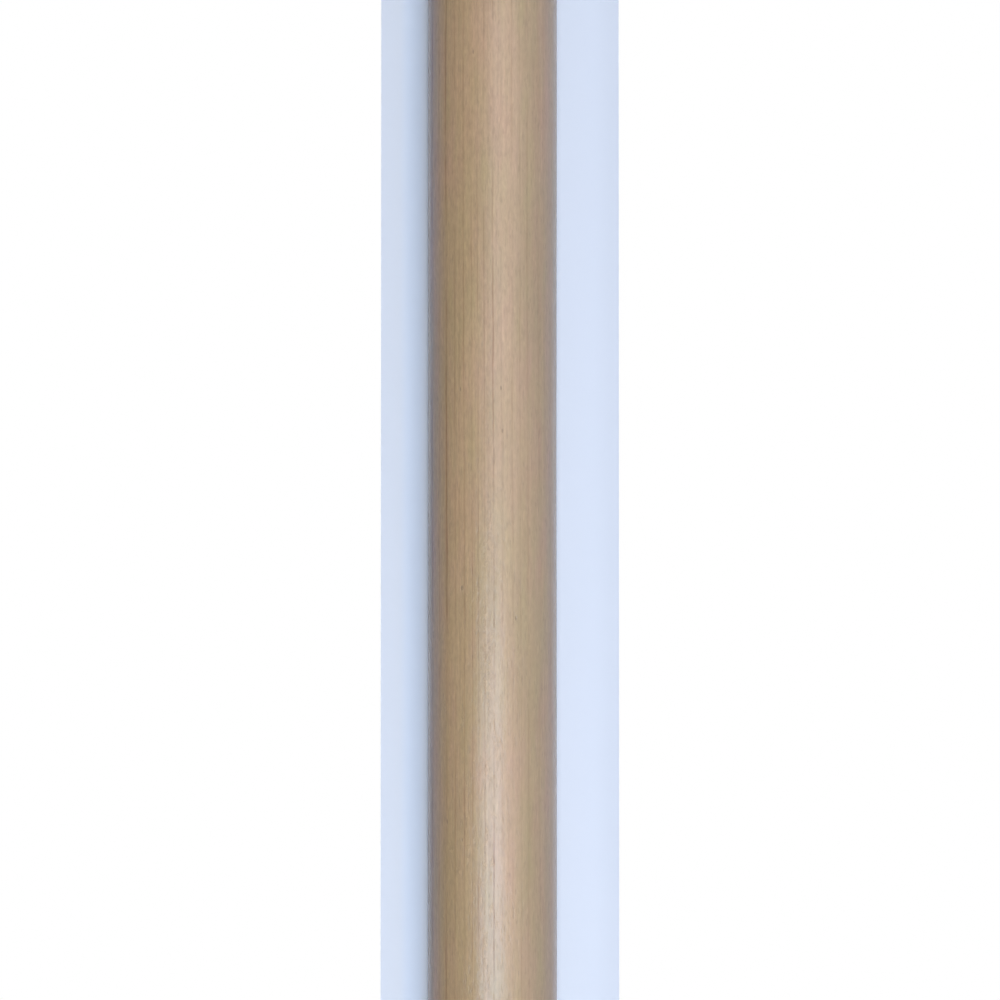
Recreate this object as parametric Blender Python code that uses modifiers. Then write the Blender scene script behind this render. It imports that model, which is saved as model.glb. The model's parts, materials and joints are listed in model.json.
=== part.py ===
"""Three-section wooden extension pole for a paint roller frame.

Each section is a lacquered hardwood shaft. A die-cast tip with a coarse male
thread is pinned over the turned-down upper end of each shaft, and a steel
sleeve holding a female threaded insert is pinned over the lower end of the
middle and top shafts, so that the sections screw together end to end. The
bottom shaft ends in a soft cap with a drilled hang hole above it.

Frame: +Z runs up the pole from the butt to the roller thread. The origin is
the centre of the flat underside of the end cap. Blender units are metres;
dimensions below are millimetres, converted by MM where geometry is made.
"""

import math

import bmesh
import bpy

MM = 0.001

# ------------------------------------------------------------- dimensions
SECTIONS = ("bottom", "middle", "top")
SHOULDERS = (398.0, 796.0, 1194.0)  # height of each tip's shoulder face

# Threads
PITCH = 5.08            # 5 turns per inch
THREAD_MAJOR_R = 9.4    # 3/4 in nominal male thread
THREAD_MINOR_R = 7.1
THREAD_LENGTH = 25.4    # shoulder to end of tip
FLANK_DEG = 14.5        # flank angle of the trapezoidal thread
CREST_W = 1.88          # axial width of the male crest
THREAD_START = 0.7      # height above the shoulder where the helix starts
THREAD_MIDDLE = THREAD_START + PITCH / 2  # male tooth's centre line at angle zero
THREAD_TURNS = 3.75     # swept turns of the male thread
THREAD_FADE = 0.45      # turns over which the male tooth grows or sinks
THREAD_END_BEVEL = 0.45
RELIEF = 0.15           # relief beyond the root where a thread runs out

# Male tip
SEAT_R = 10.0           # the shoulder is a seat from here out, clear of the thread
SEAT_RELIEF = 0.25      # depth of the relief inside the seat, round the thread's foot
SEAT_SLOPE = 0.2        # radial width of the slope up to the seat
COLLAR_R = 12.65
COLLAR_H = 5.0
COLLAR_BEVEL = 0.5
COLLAR_STEP_H = 0.3     # height of the taper from collar to skirt
SKIRT_R = 12.3
SKIRT_LEN = 38.0        # shoulder face down to the skirt's rim
SKIRT_BEVEL_W = 0.6
SKIRT_BEVEL_H = 0.8
TIP_SOCKET_R = 10.6
TIP_SOCKET_TOP = 7.0    # solid web under the shoulder

# Female end
MOUTH_GAP = 0.6         # shoulder face to the sleeve's rim
SLEEVE_R = 12.65
SLEEVE_BORE_R = 11.65
SLEEVE_LEN = 58.0
SLEEVE_BEVEL = 0.4
INSERT_R = 11.35
INSERT_RECESS = 1.5     # the washer's seat inside the sleeve's mouth
INSERT_FOOT = MOUTH_GAP + INSERT_RECESS  # shoulder face to the insert's lower face
INSERT_LEN = 25.5
INSERT_BORE_R = 7.6
INSERT_LEAD = 0.3       # least height from the insert's foot to its helix
INSERT_TURNS = 3.75     # swept turns of the female tooth
INSERT_FADE = 0.35      # turns over which the female tooth grows or sinks
GROOVE_R = 9.8
THREAD_PLAY = 0.3       # axial clearance on each flank

WASHER_R = 11.3
WASHER_BORE_R = 9.85
WASHER_GAP = 0.1        # clearance above and below the washer

# Shafts
WOOD_R = 11.9           # 15/16 in shaft
WOOD_BEVEL = 0.35       # on the edges next to the tenons
TIP_TENON_R = 10.3
TIP_TENON_GAP = 0.5     # end of the tenon to the tip's web
SOCKET_TENON_R = 11.3
TENON_GAP = 1.0         # insert's back face to the end of the tenon
TENON_BEVEL = 1.0
FITTING_GAP = 0.3       # full-width wood to a skirt's rim or a sleeve's top

# Cross pins and holes
PIN_R = 1.6
PIN_HOLE_R = 1.75
PIN_SHORT = 0.3         # how much shorter a pin is than its fitting's diameter
TIP_PIN_BELOW = 23.0    # pin height below the shoulder face
SLEEVE_PIN_ABOVE = 44.0  # pin height above the sleeve's rim
HOLE_LEN = 34.0         # cutter length, wider than the whole pole

# Butt end
CAP_R = 13.7
CAP_BORE_R = 12.15
CAP_H = 34.0
CAP_FLOOR = 3.2
CAP_BORE_BEVEL = 0.5
CAP_RIM_BEVEL = 0.6
BUTT_GAP = 0.3          # cap floor to the foot of the bottom shaft
HANG_Z = 62.0
HANG_R = 3.6

# Rounded bottom edges: (inset from the wall, rise above the floor).
BUTT_ROUND = ((0.0, 4.0), (1.2, 1.2), (4.0, 0.0))         # shaft and cap outside
CAP_BORE_ROUND = ((4.2, 0.0), (1.25, 1.15), (0.0, 4.1))   # cap inside

# Segments per turn
TURNED_SIDES = 48
CAP_SIDES = 36
THREAD_SIDES = 24
HANG_SIDES = 24
PIN_SIDES = 16

# Tolerances
WELD = 1e-6             # metres, for merging coincident points
TURN_WELD = 0.0001      # metres, for closing a turned shape
ON_BASE = 1e-4          # mm, within which a thread point lies on its base radius
TURN_SLACK = 1e-4       # turns, absorbs rounding when counting turns
SHARP_ANGLE = math.radians(32)

# Finishes
WOOD = dict(color=(0.42, 0.28, 0.16), roughness=0.35, metallic=0.0)
ZINC = dict(color=(0.50, 0.50, 0.49), roughness=0.42, metallic=1.0)
STEEL = dict(color=(0.60, 0.60, 0.61), roughness=0.28, metallic=1.0)
RUBBER = dict(color=(0.02, 0.02, 0.02), roughness=0.75, metallic=0.0)
VINYL = dict(color=(0.015, 0.015, 0.016), roughness=0.45, metallic=0.0)


# ------------------------------------------------------------------ scene
for old in list(bpy.data.objects):
    bpy.data.objects.remove(old, do_unlink=True)

pole = bpy.data.collections.new("roller_extension_pole")
cutters = bpy.data.collections.new("cutters")
for group in (pole, cutters):
    bpy.context.scene.collection.children.link(group)


def material(name, color, roughness, metallic):
    mat = bpy.data.materials.new(name)
    mat.use_nodes = True
    inputs = mat.node_tree.nodes["Principled BSDF"].inputs
    inputs["Base Color"].default_value = (*color, 1.0)
    inputs["Roughness"].default_value = roughness
    inputs["Metallic"].default_value = metallic
    return mat


def new_object(name, mesh, finish=None, z=0.0):
    """A piece of the pole, or a hidden helper if it has no finish."""
    obj = bpy.data.objects.new(name, mesh)
    obj.location = (0.0, 0.0, z * MM)
    if finish:
        pole.objects.link(obj)
        mesh.materials.append(material(name + "_finish", **finish))
    else:
        cutters.objects.link(obj)
        obj.hide_render = True
        obj.display_type = "WIRE"
    return obj


# ---------------------------------------------------------- shape helpers
def to_mesh(shape, name):
    """Writes a bmesh to a new mesh and frees it."""
    mesh = bpy.data.meshes.new(name)
    shape.to_mesh(mesh)
    shape.free()
    return mesh


def profile_mesh(name, profile, closed=False):
    """A chain of edges in the XZ plane through (radius, height) points."""
    shape = bmesh.new()
    verts = [shape.verts.new((radius * MM, 0.0, height * MM)) for radius, height in profile]
    for start, end in zip(verts, verts[1:]):
        shape.edges.new((start, end))
    if closed:
        shape.edges.new((verts[-1], verts[0]))
    return to_mesh(shape, name)


def turned(name, profile, finish, sides=TURNED_SIDES, z=0.0, closed=False):
    """A (radius, height) profile, listed down its outer side, turned round Z."""
    obj = new_object(name, profile_mesh(name, profile, closed), finish, z)
    screw = obj.modifiers.new("turn", "SCREW")
    screw.axis = "Z"
    screw.angle = math.tau
    screw.steps = screw.render_steps = sides
    screw.use_merge_vertices = True
    screw.merge_threshold = TURN_WELD
    screw.use_smooth_shade = True
    return obj


def cut(obj, cutter):
    mod = obj.modifiers.new("difference_" + cutter.name, "BOOLEAN")
    mod.operation = "DIFFERENCE"
    mod.solver = "EXACT"
    mod.object = cutter


def cross_cylinder(name, radius, length, z, finish=None, sides=PIN_SIDES):
    """A cylinder through the pole's axis, running along Y."""
    shape = bmesh.new()
    bmesh.ops.create_cone(
        shape, cap_ends=True, segments=sides,
        radius1=radius * MM, radius2=radius * MM, depth=length * MM,
    )
    obj = new_object(name, to_mesh(shape, name), finish, z)
    obj.rotation_euler = (math.radians(90), 0.0, 0.0)
    return obj


def extend(shape, edges, rings):
    """Extrudes a boundary loop through flat (radius, height) rings, keeping each point's angle.
    Returns the last ring's boundary edges."""
    for radius, height in rings:
        made = bmesh.ops.extrude_edge_only(shape, edges=edges)["geom"]
        verts = [item for item in made if isinstance(item, bmesh.types.BMVert)]
        for vert in verts:
            angle = math.atan2(vert.co.y, vert.co.x)
            vert.co = (radius * MM * math.cos(angle), radius * MM * math.sin(angle), height * MM)
        bmesh.ops.remove_doubles(shape, verts=verts, dist=WELD)
        ring = {vert for vert in verts if vert.is_valid}
        edges = [edge for edge in shape.edges if edge.is_boundary and set(edge.verts) <= ring]
    return edges


# ---------------------------------------------------------------- threads
def flank(drop):
    """Axial spread of a flank over a radial drop."""
    return drop * math.tan(math.radians(FLANK_DEG))


def swept_helix(name, section, turns):
    """The section swept up a right-hand helix, as a bmesh."""
    obj = new_object(name, profile_mesh(name, section))
    screw = obj.modifiers.new("helix", "SCREW")
    screw.axis = "Z"
    screw.angle = math.tau * turns
    screw.screw_offset = PITCH * turns * MM
    screw.steps = screw.render_steps = round(THREAD_SIDES * turns)
    screw.use_merge_vertices = False
    bpy.context.view_layer.update()
    graph = bpy.context.evaluated_depsgraph_get()
    mesh = bpy.data.meshes.new_from_object(obj.evaluated_get(graph))
    shape = bmesh.new()
    shape.from_mesh(mesh)
    bpy.data.objects.remove(obj, do_unlink=True)
    return shape


def thread_sheet(name, section, turns, fade):
    """The skin of a thread whose section is one pitch of (radius, height) points from the bottom up.
    The tooth grows out of the section's end radius over fade turns, and sinks back into it at the
    other end. Returns the bmesh and its lower and upper boundary loops."""
    shape = swept_helix(name, section, turns)
    base_radius, low = section[0]
    for vert in shape.verts:
        radius = math.hypot(vert.co.x, vert.co.y) / MM
        if abs(radius - base_radius) < ON_BASE:
            continue
        part = (math.atan2(vert.co.y, vert.co.x) / math.tau) % 1.0
        if part > 1.0 - TURN_SLACK:
            part = 0.0
        # Whole turns come from the height, the rest from the angle.
        swept = part + math.floor((vert.co.z / MM - low) / PITCH - part + TURN_SLACK)
        grown = max(0.0, min(1.0, swept / fade, (turns - swept) / fade))
        target = base_radius + (radius - base_radius) * grown
        vert.co.x *= target / radius
        vert.co.y *= target / radius
    # Adjoining turns share their edge points, so merging closes the sheet.
    bmesh.ops.remove_doubles(shape, verts=shape.verts, dist=WELD)

    heights = [vert.co.z for vert in shape.verts]
    middle = (min(heights) + max(heights)) / 2
    lower, upper = [], []
    for edge in shape.edges:
        if edge.is_boundary:
            edge_z = (edge.verts[0].co.z + edge.verts[1].co.z) / 2
            (lower if edge_z < middle else upper).append(edge)
    return shape, lower, upper


def threaded_tip(name, shoulder):
    """Die-cast tip: skirt over the shaft's tenon, collar, and the male thread above it.
    Returns the cutter for its pin hole."""
    crest = CREST_W / 2
    root = crest + flank(THREAD_MAJOR_R - THREAD_MINOR_R)
    shape, lower, upper = thread_sheet(name + "_thread", [
        (THREAD_MINOR_R, THREAD_START),
        (THREAD_MINOR_R, THREAD_MIDDLE - root),
        (THREAD_MAJOR_R, THREAD_MIDDLE - crest),
        (THREAD_MAJOR_R, THREAD_MIDDLE + crest),
        (THREAD_MINOR_R, THREAD_MIDDLE + root),
        (THREAD_MINOR_R, THREAD_START + PITCH),
    ], THREAD_TURNS, THREAD_FADE)
    neck_radius = THREAD_MINOR_R - RELIEF
    lower = extend(shape, lower, [
        (neck_radius, -SEAT_RELIEF),
        (SEAT_R - SEAT_SLOPE, -SEAT_RELIEF),
        (SEAT_R, 0.0),
        (COLLAR_R - COLLAR_BEVEL, 0.0),
        (COLLAR_R, -COLLAR_BEVEL),
        (COLLAR_R, -COLLAR_H + COLLAR_STEP_H),
        (SKIRT_R, -COLLAR_H),
        (SKIRT_R, -SKIRT_LEN + SKIRT_BEVEL_H),
        (SKIRT_R - SKIRT_BEVEL_W, -SKIRT_LEN),
        (TIP_SOCKET_R, -SKIRT_LEN),
        (TIP_SOCKET_R, -TIP_SOCKET_TOP),
    ])
    bmesh.ops.edgeloop_fill(shape, edges=lower)
    upper = extend(shape, upper, [
        (neck_radius, THREAD_LENGTH - THREAD_END_BEVEL),
        (neck_radius - THREAD_END_BEVEL, THREAD_LENGTH),
    ])
    bmesh.ops.edgeloop_fill(shape, edges=upper)
    bmesh.ops.recalc_face_normals(shape, faces=shape.faces)
    body = new_object(name, to_mesh(shape, name), ZINC, shoulder)
    hole = cross_cylinder(name + "_pin_hole", PIN_HOLE_R, HOLE_LEN, shoulder - TIP_PIN_BELOW)
    cut(body, hole)
    return hole


def threaded_insert(name, shoulder):
    """Female thread: a ring whose inward tooth fills the gaps of the male thread, less the play."""
    groove = CREST_W / 2 - flank(GROOVE_R - THREAD_MAJOR_R) + THREAD_PLAY
    land = groove + flank(GROOVE_R - INSERT_BORE_R)
    # Start on the male tooth's centre line, as few pitches above the foot as will clear it.
    start = THREAD_MIDDLE - PITCH * math.floor(
        (THREAD_MIDDLE - INSERT_FOOT - INSERT_LEAD) / PITCH)
    shape, lower, upper = thread_sheet(name + "_thread", [
        (GROOVE_R, start),
        (GROOVE_R, start + groove),
        (INSERT_BORE_R, start + land),
        (INSERT_BORE_R, start + PITCH - land),
        (GROOVE_R, start + PITCH - groove),
        (GROOVE_R, start + PITCH),
    ], INSERT_TURNS, INSERT_FADE)
    # The upper loop goes over the back and down the outside to meet the lower one.
    mouth_ring = (GROOVE_R + RELIEF, INSERT_FOOT)
    back = INSERT_FOOT + INSERT_LEN
    extend(shape, lower, [mouth_ring])
    extend(shape, upper, [
        (GROOVE_R + RELIEF, back), (INSERT_R, back), (INSERT_R, INSERT_FOOT), mouth_ring,
    ])
    bmesh.ops.remove_doubles(shape, verts=shape.verts, dist=WELD)
    bmesh.ops.recalc_face_normals(shape, faces=shape.faces)
    new_object(name, to_mesh(shape, name), ZINC, shoulder)


# ----------------------------------------------------------------- pieces
def socket_sleeve(prefix, mouth):
    """Steel sleeve. Returns the cutter for its pin hole."""
    sleeve = turned(prefix + "_socket_sleeve", [
        (SLEEVE_R - SLEEVE_BEVEL, SLEEVE_LEN), (SLEEVE_R, SLEEVE_LEN - SLEEVE_BEVEL),
        (SLEEVE_R, SLEEVE_BEVEL), (SLEEVE_R - SLEEVE_BEVEL, 0.0),
        (SLEEVE_BORE_R, 0.0), (SLEEVE_BORE_R, SLEEVE_LEN),
    ], STEEL, z=mouth, closed=True)
    hole = cross_cylinder(prefix + "_socket_pin_hole", PIN_HOLE_R, HOLE_LEN,
                          mouth + SLEEVE_PIN_ABOVE)
    cut(sleeve, hole)
    return hole


def joint_washer(prefix, shoulder):
    """Rubber washer between the tip's shoulder and the insert's foot."""
    top = shoulder + INSERT_FOOT - WASHER_GAP
    bottom = shoulder + WASHER_GAP
    turned(prefix + "_joint_washer", [
        (WASHER_R, top), (WASHER_R, bottom), (WASHER_BORE_R, bottom), (WASHER_BORE_R, top),
    ], RUBBER, closed=True)


def socket(prefix, shoulder):
    """Female end that screws down to the shoulder below. Returns its pin hole cutter."""
    hole = socket_sleeve(prefix, shoulder + MOUTH_GAP)
    threaded_insert(prefix + "_socket_insert", shoulder)
    joint_washer(prefix, shoulder)
    return hole


def butt_end():
    """Profile of the bottom shaft's rounded lower end."""
    foot = CAP_FLOOR + BUTT_GAP
    return [(WOOD_R - inset, foot + rise) for inset, rise in BUTT_ROUND] + [(0.0, foot)]


def socket_end(shoulder):
    """Profile of the lower tenon of a shaft that joins on at the shoulder below it."""
    foot = shoulder + INSERT_FOOT + INSERT_LEN + TENON_GAP
    step = shoulder + MOUTH_GAP + SLEEVE_LEN + FITTING_GAP
    return [
        (WOOD_R, step + WOOD_BEVEL), (WOOD_R - WOOD_BEVEL, step), (SOCKET_TENON_R, step),
        (SOCKET_TENON_R, foot + TENON_BEVEL), (SOCKET_TENON_R - TENON_BEVEL, foot), (0.0, foot),
    ]


def shaft(name, shoulder, lower_end, holes):
    """Turned hardwood shaft, its upper tenon inside the tip whose shoulder height is given."""
    top = shoulder - TIP_SOCKET_TOP - TIP_TENON_GAP
    step = shoulder - SKIRT_LEN - FITTING_GAP
    obj = turned(name, [
        (0.0, top), (TIP_TENON_R - TENON_BEVEL, top), (TIP_TENON_R, top - TENON_BEVEL),
        (TIP_TENON_R, step), (WOOD_R - WOOD_BEVEL, step), (WOOD_R, step - WOOD_BEVEL),
    ] + lower_end, WOOD)
    for hole in holes:
        cut(obj, hole)


def end_cap():
    """Soft cap over the butt, its profile listed up the bore and down the outside."""
    bore = [(CAP_BORE_R - inset, CAP_FLOOR + rise) for inset, rise in CAP_BORE_ROUND]
    rim = [
        (CAP_BORE_R, CAP_H - CAP_BORE_BEVEL), (CAP_BORE_R + CAP_BORE_BEVEL, CAP_H),
        (CAP_R - CAP_RIM_BEVEL, CAP_H), (CAP_R, CAP_H - CAP_RIM_BEVEL),
    ]
    outside = [(CAP_R - inset, rise) for inset, rise in BUTT_ROUND]
    turned("end_cap", [(0.0, CAP_FLOOR)] + bore + rim + outside + [(0.0, 0.0)],
           VINYL, sides=CAP_SIDES)


def pin(name, fitting_radius, z):
    """Steel cross pin, its ends just inside the fitting's surface."""
    cross_cylinder(name, PIN_R, 2 * fitting_radius - PIN_SHORT, z, STEEL)


# --------------------------------------------------------------- assembly
# Each upper section joins on at the shoulder of the one below.
joints = list(zip(SECTIONS[1:], SHOULDERS))

tip_holes = [threaded_tip(section + "_tip", shoulder)
             for section, shoulder in zip(SECTIONS, SHOULDERS)]
socket_holes = [socket(section, shoulder) for section, shoulder in joints]
hang_hole = cross_cylinder("hang_hole", HANG_R, HOLE_LEN, HANG_Z, sides=HANG_SIDES)

lower_ends = [butt_end()] + [socket_end(shoulder) for _, shoulder in joints]
lower_holes = [hang_hole] + socket_holes
for section, shoulder, lower_end, tip_hole, lower_hole in zip(
        SECTIONS, SHOULDERS, lower_ends, tip_holes, lower_holes):
    shaft(section + "_shaft", shoulder, lower_end, (tip_hole, lower_hole))
    pin(section + "_tip_pin", SKIRT_R, shoulder - TIP_PIN_BELOW)
for section, shoulder in joints:
    pin(section + "_socket_pin", SLEEVE_R, shoulder + MOUTH_GAP + SLEEVE_PIN_ABOVE)
end_cap()

for obj in pole.objects:
    obj.data.shade_smooth()
    obj.data.set_sharp_from_angle(angle=SHARP_ANGLE)
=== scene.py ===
"""Looks of the roller extension pole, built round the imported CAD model.

Every CAD node is replaced by a finer mesh made here: turned shafts with softened edges, cast tips with a
parting line and a fine helical thread, rolled sleeves with staking dimples, threaded inserts, peened pins,
rubber washers and a soft cap. Each mesh is built at rest in the row frame and rides on its node's body.
"""
import json
import math

import bmesh
import bpy
from mathutils import Matrix, Vector, noise


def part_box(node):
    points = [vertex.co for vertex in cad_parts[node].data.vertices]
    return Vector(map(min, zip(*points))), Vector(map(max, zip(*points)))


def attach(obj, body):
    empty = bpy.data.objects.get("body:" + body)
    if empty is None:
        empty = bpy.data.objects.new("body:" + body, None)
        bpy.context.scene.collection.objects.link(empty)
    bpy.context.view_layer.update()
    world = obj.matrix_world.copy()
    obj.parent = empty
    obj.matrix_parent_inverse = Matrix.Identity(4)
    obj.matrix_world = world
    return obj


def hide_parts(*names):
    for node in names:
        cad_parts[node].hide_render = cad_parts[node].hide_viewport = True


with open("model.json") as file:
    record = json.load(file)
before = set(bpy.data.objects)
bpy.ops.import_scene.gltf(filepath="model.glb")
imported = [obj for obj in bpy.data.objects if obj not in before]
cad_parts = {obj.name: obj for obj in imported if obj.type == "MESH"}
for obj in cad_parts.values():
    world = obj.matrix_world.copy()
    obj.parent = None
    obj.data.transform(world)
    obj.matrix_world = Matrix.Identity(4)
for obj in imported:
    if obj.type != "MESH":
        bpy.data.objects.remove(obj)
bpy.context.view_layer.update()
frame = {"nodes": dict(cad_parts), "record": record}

MM = 0.001
TAU = math.tau

# ------------------------------------------------------------------ sizes, in millimetres
WOOD_R = 11.9
PITCH = 5.08
MAJOR_R, MINOR_R, CREST_W, FLANK = 9.4, 7.1, 1.88, math.radians(14.5)
THREAD_LEN, THREAD_START, THREAD_TURNS, RELIEF = 25.4, 0.7, 3.75, 0.15
COLLAR_R, COLLAR_H, SKIRT_R, SKIRT_LEN = 12.65, 5.0, 12.3, 38.0
TIP_SOCKET_R, TIP_SOCKET_TOP, TIP_TENON_R = 10.6, 7.0, 10.3
SLEEVE_R, SLEEVE_BORE_R = 12.65, 11.65
INSERT_R, INSERT_BORE_R, GROOVE_R, INSERT_TURNS, PLAY = 11.35, 7.6, 9.8, 3.75, 0.3
SOCKET_TENON_R = 11.3
WASHER_R, WASHER_BORE_R = 11.3, 9.85
PIN_R, PIN_HOLE_R = 1.6, 1.75
CAP_R, CAP_BORE_R, CAP_FLOOR = 13.7, 12.15, 3.2
HANG_Z, HANG_R = 62.0, 3.6

BODY = {node: body for body, nodes in frame["record"]["behaviour"]["bodies"].items() for node in nodes}
SLOT = {s["node"]: s["material_slot"] for s in frame["record"]["subparts"]}


def span(node):
    """Lowest and highest z of a CAD node, in millimetres."""
    lo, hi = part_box(node)
    return lo.z / MM, hi.z / MM


# ------------------------------------------------------------------ mesh building
class Shell:
    """Points in millimetres and the faces between them."""

    def __init__(self):
        self.points, self.faces = [], []

    def ring(self, r, z, angles):
        first = len(self.points)
        self.points += [(r * math.cos(a), r * math.sin(a), z) for a in angles]
        return list(range(first, first + len(angles)))

    def strip(self, a, b):
        n = len(a)
        self.faces += [(a[i], a[(i + 1) % n], b[(i + 1) % n], b[i]) for i in range(n)]

    def chain(self, start, profile, angles):
        """Rings along a profile of (radius, height), from a ring already made, or from none."""
        last = start
        for r, z in profile:
            here = self.ring(r, z, angles)
            if last is not None:
                self.strip(last, here)
            last = here
        return last

    def cap(self, ring, z):
        self.points.append((0.0, 0.0, z))
        c, n = len(self.points) - 1, len(ring)
        self.faces += [(ring[i], ring[(i + 1) % n], c) for i in range(n)]


def even(n, start=0.0):
    return [start + TAU * i / n for i in range(n)]


def fillets(corners, closed=False, turn=15.0):
    """A polyline from (radius, height, fillet) corners. A filleted corner becomes an arc."""
    out, n = [], len(corners)
    for i, (r, z, f) in enumerate(corners):
        here = Vector((r, z))
        if f <= 0 or (not closed and i in (0, n - 1)):
            out.append((r, z))
            continue
        a = (Vector(corners[i - 1][:2]) - here)
        b = (Vector(corners[(i + 1) % n][:2]) - here)
        la, lb = a.length, b.length
        a.normalize(), b.normalize()
        between = a.angle(b)
        f = min(f, 0.49 * min(la, lb) * math.tan(between / 2))
        reach = f / math.tan(between / 2)
        centre = here + (a + b).normalized() * (f / math.sin(between / 2))
        p, q = here + a * reach - centre, here + b * reach - centre
        sweep = math.pi - between
        steps = max(2, math.ceil(math.degrees(sweep) / turn))
        sign = 1.0 if p.x * q.y - p.y * q.x > 0 else -1.0
        for k in range(steps + 1):
            t = sign * sweep * k / steps
            out.append((centre.x + p.x * math.cos(t) - p.y * math.sin(t),
                        centre.y + p.x * math.sin(t) + p.y * math.cos(t)))
    return out


def refine(profile, step, closed=False):
    """Adds points along any stretch of a profile longer than step."""
    out = []
    pairs = list(zip(profile, profile[1:] + ([profile[0]] if closed else [])))
    for (r0, z0), (r1, z1) in pairs:
        cuts = max(1, math.ceil(math.hypot(r1 - r0, z1 - z0) / step))
        out += [(r0 + (r1 - r0) * k / cuts, z0 + (z1 - z0) * k / cuts) for k in range(cuts)]
    if not closed:
        out.append(profile[-1])
    return out


def thread(shell, section, base_r, turns, fade, angles, z0):
    """The skin of a right-hand thread: one pitch of its section, (radius, height) from the bottom up, swept
    up the helix. The tooth grows from base_r over fade turns and sinks back at the other end. Returns its
    lower and upper edges, each a list of (point, index of its angle)."""
    n, k = len(angles), len(section)
    steps = round(n * turns)
    index = {}

    def point(i, j):
        if j == k - 1 and i + n <= steps:      # the top of one turn is the bottom of the next
            return point(i + n, 0)
        if (i, j) not in index:
            swept = i // n + (angles[i % n] - angles[0]) / TAU
            grown = max(0.0, min(1.0, swept / fade, (turns - swept) / fade))
            grown = grown * grown * (3 - 2 * grown)
            r = base_r + (section[j][0] - base_r) * grown
            a = angles[i % n]
            index[i, j] = len(shell.points)
            shell.points.append((r * math.cos(a), r * math.sin(a), z0 + section[j][1] + PITCH * swept))
        return index[i, j]

    for i in range(steps):
        for j in range(k - 1):
            shell.faces.append((point(i, j), point(i + 1, j), point(i + 1, j + 1), point(i, j + 1)))
    lower = [(point(i, 0), i % n) for i in range(n)] + [(point(0, j), 0) for j in range(k - 1, 0, -1)]
    s = steps
    upper = ([(point(i, k - 1), i % n) for i in range(s - n, s)]
             + [(point(s, j), s % n) for j in range(k - 1, 0, -1)])
    return lower, upper


def flare(shell, edge, r, z, angles):
    """Joins an edge of the thread to a flat ring, keeping each point's angle."""
    ring = shell.ring(r, z, angles)
    m = len(edge)
    for i in range(m):
        (p, a), (q, b) = edge[i], edge[(i + 1) % m]
        if a == b:
            shell.faces.append((p, q, ring[a]))
        else:
            shell.faces.append((p, q, ring[b], ring[a]))
    return ring


def to_mesh(name, shell, shape=None):
    mesh = bpy.data.meshes.new(name)
    points = [shape(*p) if shape else p for p in shell.points]
    mesh.from_pydata([(x * MM, y * MM, z * MM) for x, y, z in points], [], shell.faces)
    bm = bmesh.new()
    bm.from_mesh(mesh)
    bmesh.ops.remove_doubles(bm, verts=bm.verts, dist=2e-7)
    bmesh.ops.recalc_face_normals(bm, faces=bm.faces)
    bm.to_mesh(mesh)
    bm.free()
    return mesh


def cut(obj, *cutters):
    """Subtracts each cutter with an exact Boolean, then removes it."""
    for other in cutters:
        mod = obj.modifiers.new("cut", "BOOLEAN")
        mod.operation, mod.solver, mod.object = "DIFFERENCE", "EXACT", other
        bpy.context.view_layer.update()
        graph = bpy.context.evaluated_depsgraph_get()
        mesh = bpy.data.meshes.new_from_object(obj.evaluated_get(graph))
        obj.modifiers.clear()
        obj.data = mesh
    for other in cutters:
        bpy.data.objects.remove(other, do_unlink=True)


def cross_hole(r, z, surface_r, soften):
    """A cutter along Y whose mouths widen where they leave a round surface."""
    shell = Shell()
    y = surface_r + 0.05
    profile = [(r + soften + 0.6, y + 0.6), (r + soften, y), (r + soften * 0.45, y - soften * 0.45),
               (r, y - soften * 1.3)]
    profile += [(a, -b) for a, b in reversed(profile)]
    angles = even(48)
    first = shell.ring(*profile[0], angles)
    last = shell.chain(first, profile[1:], angles)
    shell.cap(first, profile[0][1])
    shell.cap(last, profile[-1][1])
    obj = bpy.data.objects.new("cutter", to_mesh("cutter", shell, lambda x, y, h: (x, h, z - y)))
    bpy.context.scene.collection.objects.link(obj)
    return obj


def piece(node, shell, mat, shape=None, holes=(), sharp=34.0):
    """The finished piece that stands for a CAD node and rides on its body."""
    obj = bpy.data.objects.new(node + "_finished", to_mesh(node, shell, shape))
    bpy.context.scene.collection.objects.link(obj)
    cut(obj, *holes)
    obj.data.materials.clear()
    obj.data.materials.append(mat)
    obj.data.shade_smooth()
    obj.data.set_sharp_from_angle(angle=math.radians(sharp))
    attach(obj, BODY[node])
    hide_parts(node)
    return obj


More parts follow.
